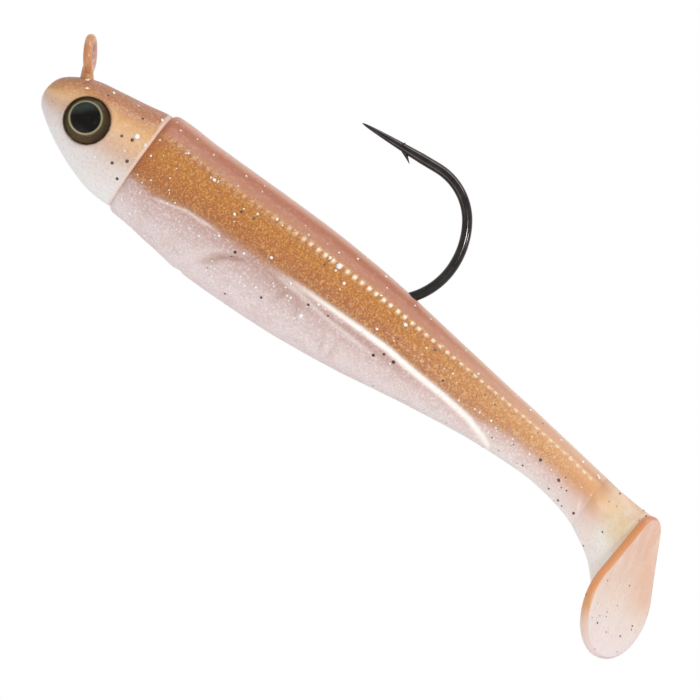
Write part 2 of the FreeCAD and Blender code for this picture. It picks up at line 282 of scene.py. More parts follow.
def finished(made, colour, lumps=None, strength=0.0, liftMm=0.0, roughness=None):
    # gives the surface its colour, and fine lumps and uneven gloss where it has them
    tree = made.node_tree
    surface = tree.nodes["Principled BSDF"].inputs
    tree.links.new(colour, surface["Base Color"])
    if lumps is not None:
        raised = {"Height": lumps, "Strength": strength, "Distance": liftMm / 1000}
        tree.links.new(addNode(tree, "Bump", raised, "Normal"), surface["Normal"])
    if roughness is not None:
        tree.links.new(roughness, surface["Roughness"])
    return made


# Body: one soft pour from the head's rim to the crease before the tail fin.
bodyShape = dict(start=16.75, end=95.7, cuts=(16, 16), sides=192,
                 frontLip=0.85, frontInset=0.75, rearLip=0.30, rearInset=0.05)
# back from the nose, top, bottom, half width
bodyStations = [(16.6, 8.42, -7.42, 6.20), (17.6, 8.66, -7.58, 6.32), (18.9, 8.73, -7.68, 6.40),
                (24.3, 8.54, -8.18, 6.50), (30.3, 8.50, -8.90, 6.52), (36, 8.48, -8.92, 6.46),
                (44, 8.35, -8.66, 6.11), (55, 7.60, -7.55, 5.27), (66, 6.19, -5.79, 4.23),
                (77, 4.75, -4.40, 3.32), (82, 4.16, -4.08, 2.92), (88, 3.39, -4.16, 2.50), (95.5, 2.40, -5.90, 1.89),
                (100, 1.95, -8.30, 1.46), (104.7, 1.79, -12.30, 1.11), (108.5, 1.79, -15.0, 1.01)]
scales = dict(pitch=1.27, rowStep=1.02, topAngle=48, height=0.06, proud=0.05,
              beadHeight=0.17, beadAngle=53.0, beadSpread=2.6, wrinkle=0.03, lumps=0.012)
gillPlate = dict(rise=0.26, foldDepth=0.13,
                 lineX=(20.4, 23.3, 26.3, 29.8, 34.8), lineZ=(-2.6, -1.9, -1.1, -0.9, -0.8),
                 foldZ=(-8.8, -6.0, -3.5, -1.9, 0.0), foldX=(29.5, 31.3, 33.3, 36.3, 38.5))
# each rib: back, up, lean
bellyPlate = dict(rise=0.50, starts=36.5, ends=79.9,
                  ledgeX=(34, 41.3, 45.3, 55.3, 60.3, 65.3, 70.3, 75.3, 78.3, 80.0),
                  ledgeZ=(-1.0, -0.6, -0.4, -0.3, -0.4, -0.9, -1.2, -1.8, -2.7, -3.6),
                  ledgeWidth=0.75, creaseX=(45.5, 50.3, 57.3), creaseZ=(-1.4, -2.1, -2.5), creaseDepth=0.16,
                  ribs=((44.0, -3.2, -0.45), (46.9, -3.4, 0.45), (52.4, -5.0, 0.3), (54.2, -5.0, -0.1)),
                  ribHeight=0.16)
# where the gold ends and the pearl begins
colourLineX = (17, 21, 23.3, 26.3, 30, 41, 55, 60, 70, 76, 82, 88, 96)
colourLineZ = (-1.7, -2.1, -1.8, -1.1, -0.9, -0.6, -0.3, -0.5, -1.0, -1.4, -0.7, -1.0, -1.9)

stationX = [s[0] for s in bodyStations]


def sectionAt(x):
    top, low, half = (smoothThrough(x, stationX, [s[k] for s in bodyStations]) for k in (1, 2, 3))
    return (top + low) / 2, (top - low) / 2, half


def ovalSkin(x, angle, side, draw):
    # a point on the oval section, pushed along its normal by draw
    middle, tall, half = sectionAt(x)
    ny, nz = np.sin(angle) / half, np.cos(angle) / tall
    length = np.hypot(ny, nz)
    y = side * (half * np.sin(angle) + draw * ny / length)
    z = middle + tall * np.cos(angle) + draw * nz / length
    return y, z


def scaleDomes(x, degrees):
    tall, half = sectionAt(x)[1:]
    rows = np.radians(degrees - scales["topAngle"]) * (tall + half) / 2 / scales["rowStep"]
    row = np.floor(rows)
    along = (x / scales["pitch"] + 0.5 * (row % 2)) % 1 - 0.5
    across = rows - row - 0.5
    # each scale is tallest towards its rear edge, where it laps the next; it is deepest where three meet
    dome = 1 - (2 * (along - 0.12 + 0.5 * across**2)) ** 2 - 0.85 * (2 * across) ** 2
    return np.clip(dome, 0, 1), soft(-0.15, -0.75, dome)


def bellyLines(x, z):
    # the gill plate's top, the fold behind it, the belly plate's ledge and the crease below that
    return (np.interp(x, gillPlate["lineX"], gillPlate["lineZ"]),
            np.interp(z, gillPlate["foldZ"], gillPlate["foldX"]),
            np.interp(x, bellyPlate["ledgeX"], bellyPlate["ledgeZ"]),
            np.interp(x, bellyPlate["creaseX"], bellyPlate["creaseZ"]))


def bodyRelief(x, z, degrees):
    # everything moulded into the skin, as a height in millimetres
    flank = soft(44.5, 51.0, degrees)
    rearEnd = 1 - soft(93.6, 95.0, x)
    lineZ = np.interp(x, colourLineX, colourLineZ)
    scaleArea = flank * soft(-0.9, 0.1, z - lineZ) * rearEnd
    tailArea = soft(77, 82, x) * passing(degrees, 47, 49, 140, 158) * rearEnd
    area = np.maximum(scaleArea, 0.8 * tailArea)
    domes, pits = scaleDomes(x, degrees)
    height = scales["proud"] * flank * (1 - soft(118, 150, degrees)) + scales["height"] * domes * area
    beadPulse = np.clip(np.cos(2 * math.pi * (x / scales["pitch"])), 0, 1) ** 0.6
    beadsAndGlint = beadPulse * bump(degrees, scales["beadAngle"], scales["beadSpread"]) * rearEnd
    beadsAndGlint *= 0.3 + 0.7 * soft(34, 46, x)
    # the skin wrinkles finely where the pour thins before the crease
    wrinkles = np.cos(10.5 * (x + 0.12 * (z - 0.5) ** 2)) * soft(91, 93.5, x) * soft(-0.8, 0.2, z) * rearEnd
    height += scales["wrinkle"] * wrinkles
    height += scales["beadHeight"] * beadsAndGlint

    plateTop, foldX, ledge, crease = bellyLines(x, z)
    gill = soft(0, 0.6, plateTop - z) * soft(20.3, 23.5, x) * soft(-0.4, 0.9, foldX - x)
    gill *= 1 - 0.65 * soft(128, 160, degrees)
    height += gillPlate["rise"] * gill
    # the fold behind the plate runs down to a notch in the belly
    height -= gillPlate["foldDepth"] * bump(x - foldX, 0.45, 0.5) * soft(0.4, 1.6, -z)

    belly = soft(0, bellyPlate["ledgeWidth"], ledge - z) * soft(bellyPlate["starts"], 54, x)
    belly *= 1 - soft(-1.4, 0.1, x - bellyPlate["ends"] + 0.06 * (z + 2.5) ** 2)
    belly *= 1 - soft(130, 168, degrees)
    height += bellyPlate["rise"] * belly
    height -= bellyPlate["creaseDepth"] * bump(z, crease, 0.35) * passing(x, 43, 47, 55, 61)
    # short slanting ribs moulded in the belly
    ribs = 0
    for ribX, ribZ, lean in bellyPlate["ribs"]:
        ribs = ribs + bump(x - ribX + lean * (z - ribZ), 0, 0.32) * bump(z, ribZ, 1.5)
    height += bellyPlate["ribHeight"] * ribs
    # low lumps, as a soft pour has
    height += scales["lumps"] * np.sin(x * 0.9 + 2 * np.sin(degrees / 21)) * np.sin(degrees / 9 + x * 0.21)
    copper = (0.28 * (1 - domes) + 0.6 * pits * (0.4 + 0.6 * bump(z, 2.0, 0.9))) * area
    return height, flank, copper, beadsAndGlint, ribs


def makeBody():
    shape = bodyShape
    skin = longTube("bodySkin", shape["cuts"], shape["sides"])
    part, angle, side = around(skin)
    count = (shape["cuts"][0] + 1) * (shape["cuts"][1] + 1)
    places = ringPlaces(shape["start"], shape["end"], count, shape["frontLip"], shape["rearLip"])
    x = places[np.rint(part * count).astype(int)]
    middle, tall = sectionAt(x)[:2]
    z = middle + tall * np.cos(angle)
    degrees = np.degrees(angle)
    height, flank, copper, beadsAndGlint, ribs = bodyRelief(x, z, degrees)
    ends = soft(0, 1.5, x - shape["start"]) * soft(0, 0.6, shape["end"] - x)
    draw = height * ends - roundOver(x - shape["start"], shape["frontLip"], shape["frontInset"])
    draw -= roundOver(shape["end"] - x, shape["rearLip"], shape["rearInset"])
    y, z = ovalSkin(x, angle, side, draw)
    movePoints(skin, toFrame(x, y, z))
    line = np.interp(x, colourLineX, colourLineZ)
    top, low = middle + tall, middle - tall
    # 0 along the back ridge, 0.5 where the copper gives way to pearl, 1 along the belly
    drop = np.where(z > line, 0.5 * (top - z) / (top - line), 0.5 + 0.5 * (line - z) / (line - low))
    rear = soft(56, 95, x)
    plateTop, foldX, ledge, crease = bellyLines(x, z)
    # painted shade in the fold, under the ledge, over the gill plate and the ribs (shade), and painted highlight
    # along the lit ledge, gill line, crease, tail crease and the fold's front (ledge)
    shade = 0.55 * bump(x - foldX, 0.9, 0.8) * passing(-z, 1.3, 2.6, 4.6, 6.6)
    shade += 0.35 * bump(z, ledge - 1.5, 0.45) * passing(x, 46, 52, 62, 68)
    shade += 0.30 * bump(z, plateTop + 0.35, 0.3) * passing(x, 20, 23, 33, 36)
    shade += 0.35 * bump(x, 43.5, 5.5) * bump(z, -2.0, 1.5) + 0.3 * ribs
    edge = (1 + 0.5 * soft(52, 58, x)) * bump(z, ledge - 0.25, 0.38) * passing(x, 38, 52, 79.2, 80.2)
    edge += 0.55 * bump(z, plateTop - 0.15, 0.22) * passing(x, 21, 23, 29, 33)
    edge += 0.5 * bump(z, crease, 0.3) * passing(x, 41, 45, 55, 61)
    edge += 0.5 * bump(x, 94.9 - 0.4 * (z + 3), 0.16) * bump(z, -3.0, 1.0)
    edge += 0.16 * bump(x - foldX, -1.1, 0.8) * soft(1.5, 3.5, -z)
    paintMask(skin, "drop", drop)
    paintMask(skin, "rear", rear)
    paintMask(skin, "copper", copper * (1 - 0.6 * rear))
    # flake and grain thin out towards the web
    thins = 1 - 0.9 * soft(87, 95.4, x)
    paintMask(skin, "flank", flank * (1 - soft(0.49, 0.52, drop)) * thins)
    paintMask(skin, "pearl", soft(0.46, 0.54, drop) * thins)
    # the bead row also gets a painted highlight over its moulded bumps
    paintMask(skin, "beadsAndGlint", beadsAndGlint * (0.8 + 0.6 * bump(x, 54, 12)))
    paintMask(skin, "collar", 0.45 * (1 - soft(17.2, 19.4, x)) * (1 - soft(0.42, 0.5, drop)))
    paintMask(skin, "shade", shade)
    paintMask(skin, "ledge", edge)
    tidyNormals(skin)
    return skin


bodySkin = makeBody()
print("body skin:", len(bodySkin.data.polygons), "faces")


# Tail web: the thin blade under the wrist of the tail that carries the fin.
webShape = dict(start=94.9, reach=108.3, cuts=(9, 9), sides=128, inset=0.03)
plateShape = dict(rearFace=106.2, lean=math.radians(15), thick=1.5, top=2.1, low=19.0,
                  topRadius=2.3, lowRadius=7.4, edgeRound=0.6, cup=0.45,
                  rays=19.8, rayHeight=0.035, rayFoot=4)


def makeWeb():
    web = longTube("tailWeb", webShape["cuts"], webShape["sides"])
    part, angle, side = around(web)
    nominal = webShape["start"] + part * (webShape["reach"] - webShape["start"])
    y, z = ovalSkin(nominal, angle, side, -webShape["inset"] * (1 - soft(95, 97, nominal)))
    plateMiddle = (plateShape["rearFace"] - plateShape["thick"] / 2 * math.cos(plateShape["lean"])
                   - z * math.tan(plateShape["lean"]))
    x = webShape["start"] + part * (plateMiddle - webShape["start"])
    movePoints(web, toFrame(x, y, z))
    middle, tall = sectionAt(nominal)[:2]
    paintMask(web, "drop", (middle + tall - z) / (2 * tall))
    paintMask(web, "along", part)
    tidyNormals(web)
    return web


def plateReach(turn):
    # from the plate's middle out to its edge: the egg round a small circle above and a large one below
    shape = plateShape
    steps = np.linspace(0, 1, 48)
    centre = (shape["top"] - shape["topRadius"]) * (1 - steps) + (shape["lowRadius"] - shape["low"]) * steps
    radius = shape["topRadius"] * (1 - steps) + shape["lowRadius"] * steps
    origin = (shape["top"] - shape["low"]) / 2
    c = centre - origin
    along = np.cos(turn)[:, None] * c[None, :]
    inside = along**2 - c[None, :] ** 2 + radius[None, :] ** 2
    reach = np.where(inside > 0, along + np.sqrt(np.clip(inside, 0, None)), 0)
    return reach.max(1), origin


def makePaddle():
    shape = plateShape
    flat, turned, wall = 27, 6, 3       # rings over each face, round its edge and down half of the wall
    rings = 2 * (flat + turned + wall)
    bpy.ops.mesh.primitive_uv_sphere_add(segments=144, ring_count=rings, radius=1, calc_uvs=False,
                                         rotation=(0, math.pi / 2, 0))
    plate = named("paddlePlate")
    applyPlace()
    co = points(plate)
    turn = np.arctan2(co[:, 1], co[:, 2])
    ring = np.arccos(np.clip(co[:, 0], -1, 1)) / math.pi * rings    # 0 at the rear face's middle
    reach, origin = plateReach(turn)
    h, r = shape["thick"] / 2, shape["edgeRound"]
    fold = np.minimum(ring, rings - ring)
    corner = np.clip((fold - flat) / turned, 0, 1) * math.pi / 2
    out = np.clip(fold / flat, 0, 1) * (reach - r) + r * np.sin(corner)
    thick = (h - r * (1 - np.cos(corner))) - np.clip((fold - flat - turned) / wall, 0, 1) * (h - r)
    thick = np.where(ring < rings / 2, thick, -thick)
    spread = out / reach
    y = out * np.sin(turn)
    up = origin + out * np.cos(turn)
    # the plate is cupped a little to the rear, with faint rays running down it
    ray = np.cos(shape["rays"] * np.arctan2(y, shape["rayFoot"] - up)) * passing(spread, 0.1, 0.4, 0.8, 0.98)
    thick = thick + shape["cup"] * (spread**2 - 0.35) + shape["rayHeight"] * ray
    back = thick - h
    x = shape["rearFace"] + back * math.cos(shape["lean"]) - up * math.sin(shape["lean"])
    z = up * math.cos(shape["lean"]) + back * math.sin(shape["lean"])
    movePoints(plate, toFrame(x, y, z))
    paintMask(plate, "drop", (shape["top"] - up) / (shape["top"] + shape["low"]))
    near = soft(0.5, -0.5, y)
    ring = ring - flat
    paintMask(plate, "rim", near * soft(0.5, 2.5, ring) + (1 - near) * soft(5, 6.5, ring))
    paintMask(plate, "rimLine", 0.4 * bump(ring, 3, 1.5) * (1 - near))
    farSide = bump(y / np.maximum(reach * np.abs(np.sin(turn)), 0.3), 0.62, 0.28)
    paintMask(plate, "streak", 0.45 * farSide * passing(up, -1.5, -5, -8.5, -12.5))
    tidyNormals(plate)
    return plate


tailWeb = makeWeb()
paddlePlate = makePaddle()
print("tail web and paddle made")


# Head: a painted soft skin over the lead, with a socket each side for an eye.
headShape = dict(length=17.0, cuts=(10, 10), sides=176, crowding=1.7, rimLip=0.55, rimInset=0.45,
                 rimBead=0.06, wall=0.72)
# back from the nose, top, bottom, half width
headStations = [(0, 0.9, 0.9, 0), (0.6, 3.21, -1.0, 1.54), (2.3, 4.76, -2.4, 3.23),
                (5.3, 6.16, -4.2, 4.74), (9.3, 6.9, -5.94, 5.63), (13.3, 7.55, -7.05, 6.03),
                (16.3, 8.12, -7.16, 6.16), (17.0, 8.2, -7.12, 6.16)]
eyeLow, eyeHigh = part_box("eye_foil_left")
# each step of the print: width, lift, and 1 where its middle slides to the print's own centre
eyeShape = dict(back=((eyeLow.x + eyeHigh.x) / 2 - noseX) * 1000,
                up=((eyeLow.z + eyeHigh.z) / 2 - axisZ) * 1000,
                radius=(eyeHigh.x - eyeLow.x) * 500, floor=-eyeHigh.y * 1000, lid=0.10, rise=1.3, rim=0.4,
                foilFit=0.985, printForward=0.45, printUp=0.2,
                printSteps=((0.83, 0, 1), (0.05, 0.05, 0), (0.24, 0, 0), (0.05, -0.05, 0), (0.9, 0.03, 0)))


def makeHead():
    shape = headShape
    head = longTube("headSkin", shape["cuts"], shape["sides"])
    part, angle, side = around(head)
    # rings are closest at the blunt nose
    x = shape["length"] * np.clip(part, 0, 1) ** shape["crowding"]
    reach = np.sqrt([s[0] for s in headStations])
    top, low, half = (smoothThrough(np.sqrt(x), reach, [s[k] for s in headStations]) for k in (1, 2, 3))
    draw = roundOver(shape["length"] - x, shape["rimLip"], shape["rimInset"])
    tall = np.maximum((top - low) / 2 - draw, 0)
    half = np.maximum(half - draw, 0)
    y = half * np.sin(angle)
    z = (top + low) / 2 + tall * np.cos(angle)
    fromEye = np.hypot(x - eyeShape["back"], z - eyeShape["up"])
    # a soft lid swells round each eye, then the skin drops to the socket floor
    onSide = soft(0.5, 2.0, y)
    beyond = fromEye - eyeShape["radius"]
    y += eyeShape["lid"] * bump(beyond, 0.40, 0.32) * onSide
    y += (eyeShape["floor"] - 0.02 - y) * (1 - soft(0.02, 0.14, beyond)) * onSide
    # the bead that stands round the rear rim
    y += shape["rimBead"] * bump(x, 16.55, 0.3)
    movePoints(head, toFrame(x, y * side, z))
    drop = (top - z) / np.maximum(top - low, 0.5)
    # the warm colour hangs lower towards the nose
    paintMask(head, "drop", drop - 0.16 * (1 - soft(0, 5.5, x)) * soft(0.1, 0.4, drop))
    paintMask(head, "rim", 0.65 * soft(16.3, 16.6, x + 0.3 * (1 - soft(0.05, 0.2, drop))))
    # painted shade in and round each eye socket, darkest down its wall
    socket = 0.85 * (1 - soft(0.0, 0.26, beyond)) + 0.2 * (1 - soft(0.1, 1.0, beyond))
    paintMask(head, "socket", onSide * socket)
    # the open rear is cut away so the skin can be given its wall
    pickOnly(head)
    editMode("FACE")
    bpy.ops.mesh.select_all(action="DESELECT")
    objectMode()
    for face in head.data.polygons:
        face.select = len(face.vertices) > 8 and face.center.x > noseX + 0.01
    editMode("FACE")
    bpy.ops.mesh.delete(type="FACE")
    objectMode()
    tidyNormals(head)
    wall = head.modifiers.new("wall", "SOLIDIFY")
    wall.thickness = shape["wall"] / 1000
    wall.offset = -1
    bpy.ops.object.modifier_apply(modifier="wall")
    return head


headSkin = makeHead()
print("head skin made")


# Eyes: a printed foil disc under a clear resin dome.
def makeEye(side, sign):
    radius = eyeShape["radius"] / 1000
    foilBox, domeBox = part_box("eye_foil_" + side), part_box("eye_dome_" + side)
    middle = (foilBox[0] + foilBox[1]) / 2
    outFace = foilBox[1].y if sign > 0 else foilBox[0].y
    inFace = foilBox[0].y if sign > 0 else foilBox[1].y
    bpy.ops.mesh.primitive_circle_add(vertices=96, radius=radius * eyeShape["foilFit"], fill_type="NGON",
                                      calc_uvs=False, location=(middle.x, inFace, middle.z),
                                      rotation=(-sign * math.pi / 2, 0, 0))
    foil = named("eyeFoil" + side.title())
    editAll("FACE")
    bpy.ops.mesh.extrude_region_move(TRANSFORM_OT_translate={"value": (0, outFace - inFace, 0)})
    # the printed rings are pressed into the foil as low steps
    for width, lift, slide in eyeShape["printSteps"]:
        bpy.ops.mesh.inset(thickness=width / 1000, use_even_offset=True)
        bpy.ops.transform.translate(value=(-slide * eyeShape["printForward"] / 1000, sign * lift / 1000,
                                           slide * eyeShape["printUp"] / 1000))
    objectMode()
    applyPlace()
    tidyNormals(foil)
    bpy.ops.object.shade_smooth_by_angle(angle=math.radians(40))

    rise, rim = eyeShape["rise"] / 1000, eyeShape["rim"] / 1000
    ball = (radius * radius + rise * rise) / (2 * rise)
    apex = domeBox[1].y if sign > 0 else domeBox[0].y
    rimY = apex - sign * rise
    bpy.ops.mesh.primitive_uv_sphere_add(segments=96, ring_count=64, radius=ball, calc_uvs=False,
                                         location=(middle.x, apex - sign * ball, middle.z),
                                         rotation=(math.pi / 2, 0, 0))
    dome = named("eyeDome" + side.title())
    applyPlace()
    editAll("VERT")
    bpy.ops.mesh.bisect(plane_co=(middle.x, rimY, middle.z), plane_no=(0, sign, 0),
                        use_fill=True, clear_inner=True)
    objectMode()
    # the cut face is drawn down to the foil as the dome's short straight wall
    for face in dome.data.polygons:
        face.select = len(face.vertices) > 8
    editMode("FACE")
    bpy.ops.mesh.extrude_region_move(TRANSFORM_OT_translate={"value": (0, -sign * rim, 0)})
    objectMode()
    tidyNormals(dome)
    bpy.ops.object.shade_smooth_by_angle(angle=math.radians(50))
    return foil, dome


eyeFoilLeft, eyeDomeLeft = makeEye("left", -1)
eyeFoilRight, eyeDomeRight = makeEye("right", 1)
print("eyes made")


# Line tie: the wire eye under a thick dip of the same soft plastic.
tieShape = dict(back=2.2, up=8.6, lean=math.radians(32), radius=2.2, coat=0.66,
                twist=math.radians(4), footX=3.66, footZ=5.80, footRadius=1.18, footTop=0.72, footLong=3.0,
                voxel=0.12, settling=18)


def makeTie():
    shape = tieShape
    bpy.ops.mesh.primitive_torus_add(major_segments=72, minor_segments=28, generate_uvs=False,
                                     major_radius=shape["radius"] / 1000, minor_radius=shape["coat"] / 1000,
                                     location=spot(shape["back"], shape["up"]),
                                     rotation=(shape["twist"], math.pi / 2 - shape["lean"], 0))
    ring = named("tieCoat")
    bpy.ops.mesh.primitive_cone_add(vertices=40, radius1=shape["footRadius"] / 1000,
                                    radius2=shape["footTop"] / 1000, depth=shape["footLong"] / 1000,
                                    location=spot(shape["footX"], shape["footZ"]),
                                    rotation=(0, -shape["lean"], 0))
    foot = bpy.context.object
    pickOnly(ring)
    foot.select_set(True)
    bpy.ops.object.join()
    applyPlace()
    melt = ring.modifiers.new("melt", "REMESH")
    melt.mode = "VOXEL"
    melt.voxel_size = shape["voxel"] / 1000
    bpy.ops.object.modifier_apply(modifier="melt")
    settle = ring.modifiers.new("settle", "SMOOTH")
    settle.iterations = shape["settling"]
    settle.factor = 0.5
    bpy.ops.object.modifier_apply(modifier="settle")
    bpy.ops.object.shade_smooth()
    return ring


tieCoat = makeTie()
print("line tie made")


# Hook: one length of wire, bent, then drawn to a needle point with a cut barb.
hookShape = dict(wire=0.74, sides=32, legX=4.05, legZ=5.62, legLong=1.314, legAngle=58, 
                 legCentre=(7.30, 6.1), shankEnd=50.4, lowCentre=(50.4, 13.5),
                 rearCentre=(49.0, 13.5), rearSweep=33.5,
                 topCentre=(51.756, 15.321), topSweep=61.1, straightStart=(51.07, 23.79), straight=2.6,
                 taper=9.6, dip=math.radians(4.6), tip=0.07, taperSteps=16, sharpness=0.62, eyeWire=0.44,
                 barbMiddle=(46.3, 22.78), barbLean=math.radians(37), barbThick=0.6, barbLong=3.0)


def bendWire(centre, degrees, steps):
    bpy.ops.mesh.spin(steps=steps, angle=math.radians(degrees), center=spot(*centre), axis=(0, 1, 0))


def drawWire(dx, dz, steps=1):
    for _ in range(steps):
        step = Vector((dx / steps / 1000, 0, dz / steps / 1000))
        bpy.ops.mesh.extrude_region_move(TRANSFORM_OT_translate={"value": step})


def makeHook():
    shape = hookShape
    lean = tieShape["lean"]
    heading = Vector((math.sin(lean), 0, -math.cos(lean)))
    bpy.ops.mesh.primitive_circle_add(vertices=shape["sides"], radius=shape["wire"] / 1000, fill_type="NGON",
                                      calc_uvs=False, location=spot(shape["legX"], shape["legZ"]),
                                      rotation=heading.to_track_quat("Z", "Y").to_euler())
    hook = named("hookWire")
    editAll("FACE")
    drawWire(shape["legLong"] * heading.x, shape["legLong"] * heading.z)
    bendWire(shape["legCentre"], shape["legAngle"], 10)
    drawWire(shape["shankEnd"] - shape["legCentre"][0], 0, 4)
    bendWire(shape["lowCentre"], 90, 28)
    bendWire(shape["rearCentre"], shape["rearSweep"], 12)
    bendWire(shape["topCentre"], shape["topSweep"], 20)
    ahead = Vector((-math.cos(shape["dip"]), 0, -math.sin(shape["dip"])))
    drawWire(shape["straight"] * ahead.x, shape["straight"] * ahead.z, 2)
    steps, now = shape["taperSteps"], shape["wire"]
    start = spot(*shape["straightStart"]) + ahead * shape["straight"] / 1000
    for i in range(steps):
        # a ground point: slightly hollow towards its tip
        t = (i + 1) / steps
        wanted = shape["wire"] * (1 - t) ** shape["sharpness"] + shape["tip"] * t
        drawWire(shape["taper"] / steps * ahead.x, shape["taper"] / steps * ahead.z)
        at = start + ahead * shape["taper"] * t / 1000
        bpy.ops.transform.resize(value=(wanted / now,) * 3, center_override=at)
        now = wanted
    objectMode()
    applyPlace()
    # the barb is a sliver raised off the inside of the point, leaning away from the tip
    barbWay = Matrix.Rotation(shape["barbLean"], 3, "Y") @ (-ahead)
    bpy.ops.mesh.primitive_cone_add(vertices=20, radius1=shape["barbThick"] / 1000, radius2=0.02 / 1000,
                                    depth=shape["barbLong"] / 1000, location=spot(*shape["barbMiddle"]),
                                    rotation=barbWay.to_track_quat("Z", "Y").to_euler())
    barb = bpy.context.object
    applyPlace()
    # the eye of the wire, buried in its coat
    bpy.ops.mesh.primitive_torus_add(major_segments=64, minor_segments=24, generate_uvs=False,
                                     major_radius=tieShape["radius"] / 1000,
                                     minor_radius=shape["eyeWire"] / 1000,
                                     location=spot(tieShape["back"], tieShape["up"]),
                                     rotation=(tieShape["twist"], math.pi / 2 - lean, 0))
    eye = bpy.context.object
    pickOnly(hook)
    barb.select_set(True)
    eye.select_set(True)
    bpy.ops.object.join()
    applyPlace()
    tidyNormals(hook)
    bpy.ops.object.shade_smooth_by_angle(angle=math.radians(50))
    return hook


hookWire = makeHook()
print("hook made")


# Flecks: bright metal flakes and black specks stirred into the pour, placed by back, up and size.
fleckShape = dict(sides=6, radius=0.5, thick=0.06, least=0.6, most=1.35,
                  eyeBack=7.55, eyeUp=0.9, eyeClear=4.2)


def makeFlecks(name, skin, count, sizeMm, lift, seed, weigh, tilt=0.3, placed=()):
    draw = random.Random(seed)
    co = points(skin)
    normals = np.zeros(len(co) * 3)
    skin.data.vertices.foreach_get("normal", normals)
    normals = normals.reshape(-1, 3)
    weights = np.cumsum(weigh(co))
    bpy.ops.mesh.primitive_circle_add(vertices=fleckShape["sides"], radius=fleckShape["radius"] / 1000,
                                      fill_type="NGON", calc_uvs=False)
    first = named(name)
    editAll("FACE")
    bpy.ops.mesh.extrude_region_move(TRANSFORM_OT_translate={"value": (0, 0, fleckShape["thick"] / 1000)})
    objectMode()
    tidyNormals(first)
    copies = [first]
    chosen = [(int(np.searchsorted(weights, draw.random() * weights[-1])),
               draw.uniform(fleckShape["least"], fleckShape["most"])) for _ in range(count)]
    for x, z, big in placed:
        # the larger ones sit on the left side, at their own places
        near = np.hypot(co[:, 0] - spot(x, z).x, co[:, 2] - spot(x, z).z)
        near += 0.25 * co[:, 1] + (co[:, 1] > -0.0008)
        chosen.append((int(np.argmin(near)), big / sizeMm))
    for i, (at, big) in enumerate(chosen):
        size = sizeMm * big
        lean = Vector([draw.uniform(-tilt, tilt) for _ in range(3)])
        face = (Vector(normals[at]) + lean).normalized()
        turn = face.to_track_quat("Z", "Y").to_matrix().to_4x4()
        place = Matrix.Translation(Vector(co[at]) + Vector(normals[at]) * lift / 1000) @ turn
        place = place @ Matrix.Rotation(draw.uniform(0, 6.28), 4, "Z") @ Matrix.Diagonal((size, size, 1, 1))
        flake = first if i == len(chosen) - 1 else first.copy()
        if flake is not first:
            flake.data = first.data.copy()
            bpy.context.scene.collection.objects.link(flake)
            copies.append(flake)
        flake.data.transform(place)
    pickOnly(first)
    for flake in copies:
        flake.select_set(True)
    bpy.context.view_layer.objects.active = first
    bpy.ops.object.join()
    first.data.materials.clear()
    return first


def within(co, start, end, low=-20, high=20):
    # 1 for the skin points between two stations and two levels, else 0
    x, z = (co[:, 0] - noseX) * 1000, (co[:, 2] - axisZ) * 1000
    return ((x > start) & (x < end) & (z > low) & (z < high)) * 1.0


def bellyFirst(co):
    # most flake shows in the clear belly, some on the back, little in the gold
    keep = within(co, 17.6, 94.8) * (np.abs(co[:, 1]) > 0.0006)
    return keep * (0.35 + within(co, 0, 120, -20, -0.5) + 0.25 * within(co, 0, 120, 4, 20))


def offTheEyes(co):
    # the head's sides, apart from a circle round each eye
    eye = spot(fleckShape["eyeBack"], fleckShape["eyeUp"])
    clear = np.hypot(co[:, 0] - eye.x, co[:, 2] - eye.z) > fleckShape["eyeClear"] / 1000
    return within(co, 2.5, 15.8) * (np.abs(co[:, 1]) > 0.004) * clear


bodyGlitter = makeFlecks("bodyGlitter", bodySkin, 420, 0.30, -0.02, 11, bellyFirst, 0.3,
                         [(46.5, 5.0, 0.6), (48.2, 4.85, 0.9), (60.3, 3.5, 0.7), (50.1, 3.2, 0.5),
                          (37.4, 5.2, 0.5), (20.0, -6.2, 0.6), (18.0, -5.2, 0.5), (47.9, -4.0, 0.7),
                          (30.4, -8.2, 0.5), (39.9, 0.3, 0.5), (57.6, 0.8, 0.5), (27.0, 4.6, 0.6),
                          (32.2, 2.2, 0.5)])
bodySpecks = makeFlecks("bodySpecks", bodySkin, 60, 0.27, -0.045, 27,
                        lambda co: 0.25 * within(co, 18, 94.6, -20, 4) + 0.5 * within(co, 56, 94.6, -20, 4)
                        + 3.0 * within(co, 80, 94.6, -20, 0), 0.05,
                        [(32.7, 3.2, 0.42), (34.6, 3.4, 0.45), (35.3, -1.9, 0.5), (35.2, -2.7, 0.6),
                         (41.8, -5.1, 0.42), (46.3, 3.9, 0.45), (47.8, -2.0, 0.45), (59.3, -2.5, 0.5),
                         (60.3, -1.6, 0.45), (62.2, -1.6, 0.55), (65.7, 3.1, 0.45), (69.1, 0.2, 0.4),
                         (86.7, -0.9, 0.5), (90.3, -1.7, 0.55), (91.8, -4.1, 0.4), (94.6, -4.3, 0.45)])
headGlitter = makeFlecks("headGlitter", headSkin, 14, 0.34, -0.012, 5, offTheEyes, 0.3,
                         [(4.0, 5.5, 0.8), (4.9, 4.6, 0.6), (8.3, 6.2, 0.45), (12.0, 6.7, 0.45),
                          (16.1, 7.0, 0.5), (14.7, 3.2, 0.8), (16.2, 2.9, 0.6)])
headSpecks = makeFlecks("headSpecks", headSkin, 4, 0.40, -0.03, 8,
                        lambda co: within(co, 11.8, 16.0, -4, 6) * (co[:, 1] > 0.0052), 0.05,
                        [(12.9, 2.1, 0.45), (14.4, 2.4, 0.55), (15.7, -0.45, 0.55), (14.1, -1.9, 0.5),
                         (15.8, -3.2, 0.5), (7.9, 5.5, 0.4), (13.8, 5.6, 0.4)])
webSpecks = makeFlecks("webSpecks", tailWeb, 16, 0.24, -0.03, 3, lambda co: within(co, 96.2, 106), 0.05)
paddleSpecks = makeFlecks("paddleSpecks", paddlePlate, 34, 0.26, -0.03, 14,
                          lambda co: within(co, 90, 120, -20, -11) + 0.06, 0.05)
print("flecks made")


